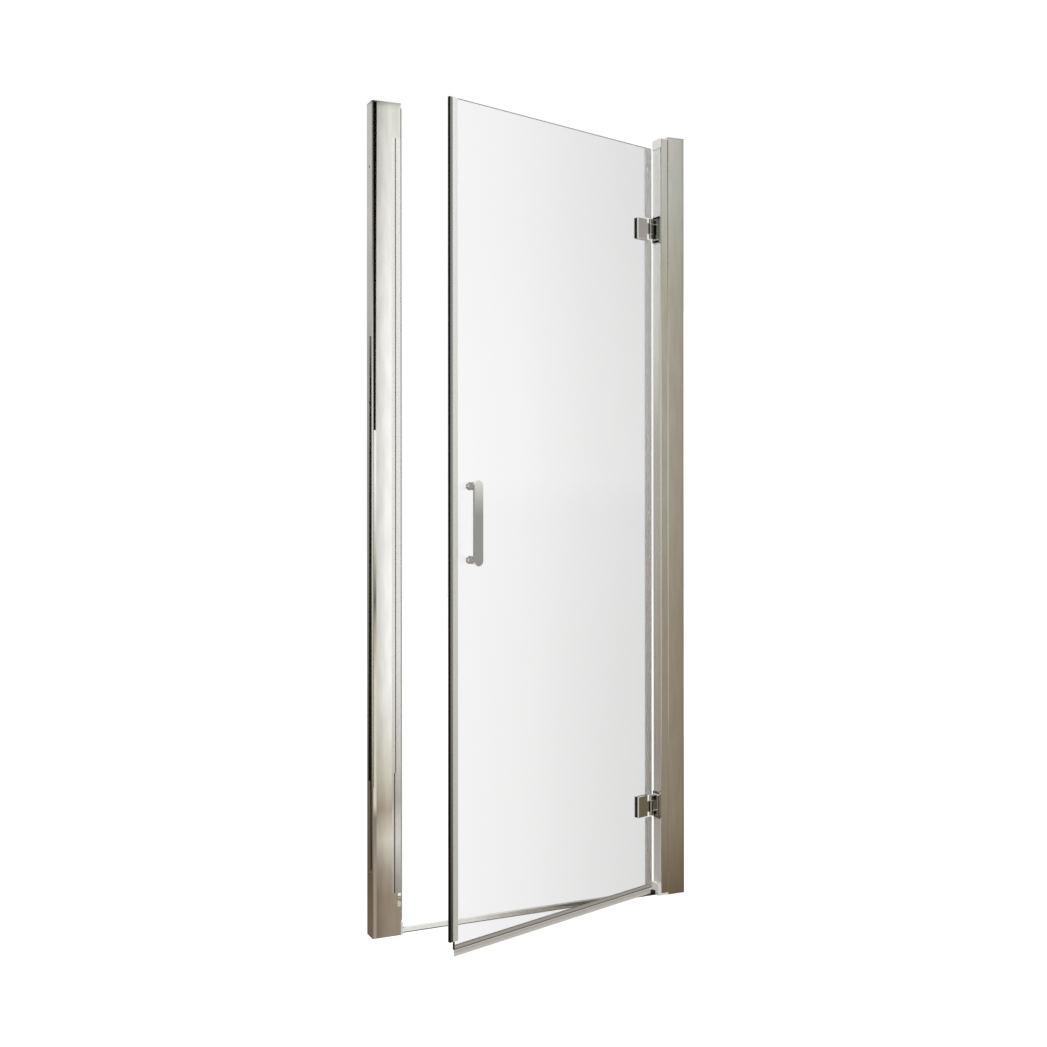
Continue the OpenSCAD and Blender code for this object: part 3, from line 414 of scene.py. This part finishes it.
def doorMask(tree, axis, low, high=None):
    # 1 between two places on the open door: X away from the hinge axis, Y towards the inner side and Z up
    high = openDoor["farAway"] if high is None else high
    middle, reach = (low + high) / 2, (high - low) / 2
    place = addNode(tree, "ShaderNodeTexCoord")
    turned = addNode(tree, "ShaderNodeVectorRotate", rotation_type="Z_AXIS",
                     inputs={"Center": openDoor["hingeAxis"], "Angle": -math.radians(openDoor["angle"])},
                     links={"Vector": place.outputs["Object"]})
    split = addNode(tree, "ShaderNodeSeparateXYZ", links={0: turned.outputs[0]})
    if axis == "X":
        middle = openDoor["hingeAxis"][0] - middle
    return addNode(tree, "ShaderNodeMath", operation="COMPARE", inputs={1: middle, 2: reach},
                   links={0: split.outputs[axis]}).outputs[0]


def finishSurface(tree, inputs, links=None, grain=None, roughness=None, relief=()):
    # the surface itself: its roughness follows a grain between two values, and patterns raise it by depths
    surface = addNode(tree, "ShaderNodeBsdfPrincipled", inputs=inputs, links=links)
    if grain:
        rough = addNode(tree, "ShaderNodeMapRange", links={"Value": grain}, inputs={
            "From Min": noiseSpan[0], "From Max": noiseSpan[1],
            "To Min": roughness[0], "To Max": roughness[1]})
        tree.links.new(rough.outputs[0], surface.inputs["Roughness"])
    normal = surface.inputs["Normal"]
    for pattern, depth in reversed(relief):
        bump = addNode(tree, "ShaderNodeBump", inputs={"Strength": 1.0, "Distance": depth},
                       links={"Height": pattern})
        tree.links.new(bump.outputs[0], normal)
        normal = bump.inputs["Normal"]
    addNode(tree, "ShaderNodeOutputMaterial", links={"Surface": surface.outputs[0]})


brightAluminium = {
    "colour": "#f3f2ef",
    "roughness": (0.006, 0.014),
    "lineSize": (0.9 * mm, 0.9 * mm, 500 * mm),  # die lines, drawn a little coarser than real to show
    "lineDepth": 0.00003 * mm,
    "waveSize": (70 * mm, 70 * mm, 200 * mm),
    "waveDepth": 0.0010 * mm,
}


def makeBrightAluminium():
    # extruded aluminium, bright-dipped and clear anodised: a near mirror with faint lines along it
    look = brightAluminium
    made, tree = newMaterial("brightAnodisedAluminium")
    lines = objectNoise(tree, look["lineSize"], detail=2.0)
    waves = objectNoise(tree, look["waveSize"], detail=1.0)
    finishSurface(tree, {"Base Color": look["colour"], "Metallic": 1.0}, grain=lines,
                  roughness=look["roughness"],
                  relief=((waves, look["waveDepth"]), (lines, look["lineDepth"])))
    return made


sillAluminium = {
    "roughness": (0.015, 0.04),
    "grainSize": (40 * mm, 0.8 * mm, 0.8 * mm),
    "byHeight": ((0.0, "#555450"), (0.0012, "#5c5b57"), (0.0016, "#eeedea"), (0.0021, "#f6f5f3"),
                 (0.009, "#ffffff")),
    "byPlace": ((-0.33, "#ffffff"), (-0.15, "#fcfbf9"), (-0.02, "#cdcbc5"), (0.10, "#aca9a1"),
                (0.33, "#b3b1aa")),
    "top": 9 * mm,
    "halfLength": 340 * mm,
}


def makeSillAluminium():
    # the threshold's bright anodised bar, with the shade that gathers along its foot and towards the hinges
    look = sillAluminium
    made, tree = newMaterial("anodisedSillAluminium")
    byHeight = toneAlong(tree, look["byHeight"], "Z", 0.0, look["top"])
    byPlace = toneAlong(tree, look["byPlace"], "X", -look["halfLength"], look["halfLength"])
    tone = addNode(tree, "ShaderNodeMix", data_type="RGBA", blend_type="MULTIPLY", inputs={0: 1.0},
                   links={6: byHeight, 7: byPlace})
    finishSurface(tree, {"Metallic": 1.0}, {"Base Color": tone.outputs[2]},
                  grain=objectNoise(tree, look["grainSize"], detail=2.0), roughness=look["roughness"])
    return made


polishedChrome = {
    "colour": "#ebebea",
    "roughness": (0.006, 0.02),
    "scratchSize": (0.6 * mm, 0.6 * mm, 7.5 * mm),
    "scratchDepth": 0.00003 * mm,
}
chromeTones = {
    # name: the plate's colour, darkened as painted shade on the handle posts, or how far from the hinge
    # axis a side starts to lie in painted shade, and its colour
    "polishedChromePlate": dict(),
    "chromePlateDarkLeafSide": dict(shadeFrom=55.2 * mm, shade="#4c4b48"),
    "chromePlateDarkBarSide": dict(shadeFrom=594.4 * mm, shade="#93918c"),
    "shadedChromePosts": dict(colour="#9a9895"),
}


def makePolishedChrome(name, colour=polishedChrome["colour"], shadeFrom=None, shade=None):
    # solid brass, buffed and chrome plated: the brightest mirror, with hair-fine polishing marks; any
    # darker colour and any shaded side given here are painted shade
    look = polishedChrome
    made, tree = newMaterial(name)
    marks = objectNoise(tree, look["scratchSize"], detail=3.0)
    tone = {}
    # the side beyond shadeFrom is painted shade
    if shadeFrom:
        shaded = addNode(tree, "ShaderNodeMix", data_type="RGBA", inputs={6: colour, 7: shade},
                         links={0: doorMask(tree, "X", shadeFrom)})
        tone["Base Color"] = shaded.outputs[2]
    finishSurface(tree, {"Base Color": colour, "Metallic": 1.0}, tone, grain=marks,
                  roughness=look["roughness"], relief=((marks, look["scratchDepth"]),))
    return made


platedMoulding = {
    "colour": "#e6e6e3",
    "roughness": 0.05,
    "orangePeel": (2.5 * mm, 2.5 * mm, 2.5 * mm),
    "peelDepth": 0.0006 * mm,
}


def makePlatedMoulding():
    # moulded ABS with bright plating: shiny but a little rippled, as plated plastic is
    look = platedMoulding
    made, tree = newMaterial("platedAbsMoulding")
    finishSurface(tree, {"Base Color": look["colour"], "Metallic": 1.0, "Roughness": look["roughness"]},
                  relief=((objectNoise(tree, look["orangePeel"], detail=1.0), look["peelDepth"]),))
    return made


zincSteel = {
    "colours": ("#9d9c98", "#b9b8b2"),
    "roughness": (0.28, 0.42),
    "grainSize": (0.7 * mm, 0.7 * mm, 0.7 * mm),
}


def makeZincSteel():
    # turned steel, zinc plated: grey and satin with a fine uneven grain
    look = zincSteel
    made, tree = newMaterial("zincPlatedSteel")
    grain = objectNoise(tree, look["grainSize"], detail=3.0)
    stops = list(zip(noiseSpan, look["colours"]))
    tone = addNode(tree, "ShaderNodeValToRGB", stops=stops, links={0: grain})
    finishSurface(tree, {"Metallic": 1.0}, {"Base Color": tone.outputs[0]}, grain=grain,
                  roughness=look["roughness"])
    return made


mouldedPlastics = {
    # name: tones, roughness, spark size and depth, IOR
    "whiteMouldedAbs": dict(
        tones=("#f3f2ee", "#f8f7f4"), roughness=0.32, spark=0.5 * mm, depth=0.006 * mm, ior=1.53),
    "naturalNylon": dict(
        tones=("#ddd9cc", "#e6e3d8"), roughness=0.45, spark=0.6 * mm, depth=0.008 * mm, ior=1.53),
    "blackNitrileRubber": dict(
        tones=("#100f0e", "#1b1a18"), roughness=0.62, spark=0.8 * mm, depth=0.015 * mm, ior=1.52),
    "magneticRubber": dict(
        tones=("#070606", "#0f0e0c"), roughness=0.42, spark=0.6 * mm, depth=0.006 * mm, ior=1.3),
    "whiteCoatedMagnet": dict(
        tones=("#f6f6f4", "#fbfbfa"), roughness=0.3, spark=0.6 * mm, depth=0.003 * mm, ior=1.5),
}


def makeMouldedPlastic(name):
    # moulded or extruded plastics and rubbers: they differ in tone, gloss and the texture of the tool
    look = mouldedPlastics[name]
    made, tree = newMaterial(name)
    texture = objectNoise(tree, [look["spark"]] * 3, detail=2.0)
    stops = list(zip(noiseSpan, look["tones"]))
    tone = addNode(tree, "ShaderNodeValToRGB", stops=stops, links={0: texture})
    finishSurface(tree, {"Roughness": look["roughness"], "IOR": look["ior"]},
                  {"Base Color": tone.outputs[0]}, relief=((texture, look["depth"]),))
    return made


sealVinyls = {
    # name: tones by height in metres and the height they end at, how much light passes, gloss, IOR
    # the jamb strip's tones up its height, lighter towards the top, are painted reflection and shade
    "greyStripVinyl": dict(passes=0.0, roughness=0.30, ior=1.53, top=partHeight, tones=(
        (0.0, "#d9d7d0"), (0.09, "#d6d4cd"), (0.36, "#bcb2a8"), (0.60, "#c1b9ab"), (0.84, "#c5c1b8"),
        (1.09, "#cbc7bc"), (1.33, "#ebe8e0"), (1.57, "#f0efea"))),
    # its tones, paler towards the top, are painted light and shade
    "clearEdgeVinyl": dict(passes=0.72, roughness=0.12, ior=1.53, top=partHeight, tones=(
        (0.0, "#ebe7e1"), (0.45, "#ebe8e3"), (1.0, "#f2f0ec"), (1.4, "#f9f8f5"), (1.8, "#fcfcfa"))),
    # the dark band 17.8 to 20.8 mm up is a painted shadow line
    "cloudyDripVinyl": dict(passes=0.0, roughness=0.25, ior=1.53, top=0.03, tones=(
        (0.0, "#ebe7df"), (0.0178, "#f0ece4"), (0.0186, "#6f695f"), (0.02, "#6f695f"), (0.0208, "#b5afa5"),
        (0.0255, "#c6c1b8"), (0.0262, "#aaa499"))),
    "clearStrikeVinyl": dict(passes=1.0, roughness=0.04, ior=1.06, top=partHeight, tones=(
        (0.0, "#fdfdfc"), (0.3, "#ffffff"))),
}
vinylLines = {  # what the die draws along a profile
    "size": (0.8 * mm, 0.8 * mm, 120 * mm),
    "depth": 0.003 * mm,
    "cloud": (0.95, 1.0),  # how far they cloud the tone
}


def makeSealVinyl(name):
    # extruded soft PVC: cloudy and flexible, with drawn lines along it; its tones up the height are partly
    # painted light and shade
    look = sealVinyls[name]
    made, tree = newMaterial(name)
    lines = objectNoise(tree, vinylLines["size"], detail=2.0)
    cloud = addNode(tree, "ShaderNodeMapRange", links={"Value": lines}, inputs={
        "From Min": noiseSpan[0], "From Max": noiseSpan[1],
        "To Min": vinylLines["cloud"][0], "To Max": vinylLines["cloud"][1]})
    tone = addNode(tree, "ShaderNodeMix", data_type="RGBA", blend_type="MULTIPLY", inputs={0: 1.0},
                   links={6: toneAlong(tree, look["tones"], end=look["top"]), 7: cloud.outputs[0]})
    finishSurface(tree, {"Roughness": look["roughness"], "IOR": look["ior"],
                         "Transmission Weight": look["passes"]},
                  {"Base Color": tone.outputs[2]}, relief=((lines, vinylLines["depth"]),))
    return made


leadingSeal = {
    "bodyEdge": 634.6 * mm,  # beyond this distance from the axis lies the body, before it the pale flange
    "shadeLine": (633.2 * mm, 635.2 * mm),  # the painted shade line on the inner side
    "lowShadeLine": (635.2 * mm, 637.8 * mm),  # where it lies instead near the foot
    "lowTop": 0.32,
    "skinFrom": 2.3 * mm,  # the pale inner side starts this far behind the glass's middle
    # the tones up the height, paler towards the top and darker at the foot, are painted light and shade
    "flange": ((0.0, "#dbd9cf"), (0.3, "#dedcd2"), (1.0, "#ebe9e2"), (1.6, "#fbfaf8")),
    "body": ((0.05, "#4f4845"), (0.25, "#6d6763"), (0.55, "#8a8682"), (1.0, "#92908a"), (1.7, "#918d8a")),
    "skin": ((0.04, "#b5b2ab"), (0.07, "#bdbab4"), (0.16, "#efede9"), (0.21, "#e4e1dc"), (0.255, "#c9c5be"),
             (0.35, "#e2dfd9"), (0.49, "#f1f0ed"), (0.62, "#fbfbf9")),
    # the tone of the painted shade line
    "shadeLineTone": "#37322e",
    "roughness": 0.22,
    "ior": 1.5,
}


def makeLeadingSealVinyl():
    # soft PVC in two tones: a pale flange on the glass, a smoky body round the magnet and a pale inner
    # side, with painted light and shade up its height and a painted shade line on the inner side
    look = leadingSeal
    made, tree = newMaterial("smokyAndPaleSealVinyl")
    # where the painted shade line lies, lower down near the foot
    isShadeLine = addNode(tree, "ShaderNodeMix", data_type="FLOAT", links={
        0: doorMask(tree, "Z", 0.0, look["lowTop"]),
        2: doorMask(tree, "X", *look["shadeLine"]), 3: doorMask(tree, "X", *look["lowShadeLine"])})
    inner = addNode(tree, "ShaderNodeMix", data_type="RGBA", inputs={7: look["shadeLineTone"]},
                    links={0: isShadeLine.outputs[0], 6: toneAlong(tree, look["skin"])})
    front = addNode(tree, "ShaderNodeMix", data_type="RGBA", links={
        0: doorMask(tree, "X", look["bodyEdge"]),
        6: toneAlong(tree, look["flange"]), 7: toneAlong(tree, look["body"])})
    both = addNode(tree, "ShaderNodeMix", data_type="RGBA", links={
        0: doorMask(tree, "Y", look["skinFrom"]), 6: front.outputs[2], 7: inner.outputs[2]})
    lines = objectNoise(tree, vinylLines["size"], detail=2.0)
    finishSurface(tree, {"Roughness": look["roughness"], "IOR": look["ior"]},
                  {"Base Color": both.outputs[2]}, relief=((lines, vinylLines["depth"]),))
    return made


leadingMagnet = {
    "tones": ("#020202", "#060505"),
    "roughness": 0.4,
    "ior": 1.5,
    "shine": 0.06,  # sooty rubber with hardly a highlight
}


def makeLeadingMagnetRubber():
    # magnetic rubber strip, black and satin, with the seal's pale skin on its inner side, whose tones up
    # the height are painted light and shade
    look = leadingMagnet
    made, tree = newMaterial("skinnedMagneticRubber")
    lines = objectNoise(tree, vinylLines["size"], detail=2.0)
    stops = list(zip(noiseSpan, look["tones"]))
    black = addNode(tree, "ShaderNodeValToRGB", stops=stops, links={0: lines})
    both = addNode(tree, "ShaderNodeMix", data_type="RGBA", links={
        0: doorMask(tree, "Y", leadingSeal["skinFrom"]),
        6: black.outputs[0], 7: toneAlong(tree, leadingSeal["skin"])})
    finishSurface(tree, {"Roughness": look["roughness"], "IOR": look["ior"],
                         "Specular IOR Level": look["shine"]},
                  {"Base Color": both.outputs[2]}, relief=((lines, vinylLines["depth"]),))
    return made


toughenedGlass = {
    "colour": "#fafafa",
    "edgeShade": "#6f7371",  # painted shade standing in for the dark look of the ground edges
    "shadowColour": "#f2f3f3",
    "topEdge": 1820.0 * mm,  # the rim above this height is edge
    "leadingEdge": 629.4 * mm,  # and so is what lies beyond this distance from the hinge axis
    "ior": 1.52,
    "rollerSize": (300 * mm, 300 * mm, 60 * mm),  # the faint roller wave that toughening leaves
    "rollerDepth": 0.0008 * mm,
}


def makeToughenedGlass():
    # 6 mm clear toughened float glass: clean and flat, and darker only where its ground edges show, a
    #                                   painted shade on the top rim and the leading strip
    look = toughenedGlass
    made, tree = newMaterial("clearToughenedGlass")
    path = addNode(tree, "ShaderNodeLightPath")
    skin = addNode(tree, "ShaderNodeBump", inputs={"Strength": 1.0, "Distance": look["rollerDepth"]},
                   links={"Height": objectNoise(tree, look["rollerSize"], detail=0.0)})
    # where the painted edge shade lies
    isEdge = addNode(tree, "ShaderNodeMath", operation="MAXIMUM", links={
        0: doorMask(tree, "Z", look["topEdge"]),
        1: doorMask(tree, "X", look["leadingEdge"])})
    tone = addNode(tree, "ShaderNodeMix", data_type="RGBA", links={0: isEdge.outputs[0]},
                   inputs={6: look["colour"], 7: look["edgeShade"]})
    surface = addNode(tree, "ShaderNodeBsdfPrincipled",
                      inputs={"Roughness": 0.0, "IOR": look["ior"], "Transmission Weight": 1.0},
                      links={"Base Color": tone.outputs[2], "Normal": skin.outputs[0]})
    clear = addNode(tree, "ShaderNodeBsdfTransparent", inputs={"Color": look["shadowColour"]})
    mixed = addNode(tree, "ShaderNodeMixShader",
                    links={0: path.outputs["Is Shadow Ray"], 1: surface.outputs[0], 2: clear.outputs[0]})
    addNode(tree, "ShaderNodeOutputMaterial", links={"Surface": mixed.outputs[0]})
    return made


chromes = {name: makePolishedChrome(name, **tones) for name, tones in chromeTones.items()}
plastics = {name: makeMouldedPlastic(name) for name in mouldedPlastics}
vinyls = {name: makeSealVinyl(name) for name in sealVinyls}

finishes = {
    "bright_aluminium": makeBrightAluminium(),
    "bright_cap": makePlatedMoulding(),
    "chrome": chromes["polishedChromePlate"],
    "zinc_steel": makeZincSteel(),
    "white_plastic": plastics["whiteMouldedAbs"],
    "nylon": plastics["naturalNylon"],
    "black_rubber": plastics["blackNitrileRubber"],
    "black_magnet": plastics["magneticRubber"],
    "seal_pvc": vinyls["clearEdgeVinyl"],
    "toughened_glass": makeToughenedGlass(),
}

# pieces whose finish differs from the rest of their slot, most of them by painted light and shade
ownFinish = {
    "threshold": makeSillAluminium(),
    "upper_hinge_leaf": chromes["chromePlateDarkLeafSide"],
    "lower_hinge_leaf": chromes["chromePlateDarkLeafSide"],
    "handle_bar": chromes["chromePlateDarkBarSide"],
    "handle_posts": chromes["shadedChromePosts"],
    "jamb_seal_strip": vinyls["greyStripVinyl"],
    "drip_seal": vinyls["cloudyDripVinyl"],
    "strike_seal": vinyls["clearStrikeVinyl"],
    "strike_magnet": plastics["whiteCoatedMagnet"],
    "leading_seal": makeLeadingSealVinyl(),
    "leading_magnet": makeLeadingMagnetRubber(),
}

for part in frame["record"]["subparts"]:
    piece = nodes[part["node"]]
    finish = ownFinish.get(part["node"], finishes[part["material_slot"]])
    piece.data.materials.clear()
    piece.data.materials.append(finish)
print("finishes put on")

bpy.context.scene.view_settings.view_transform = "Standard"
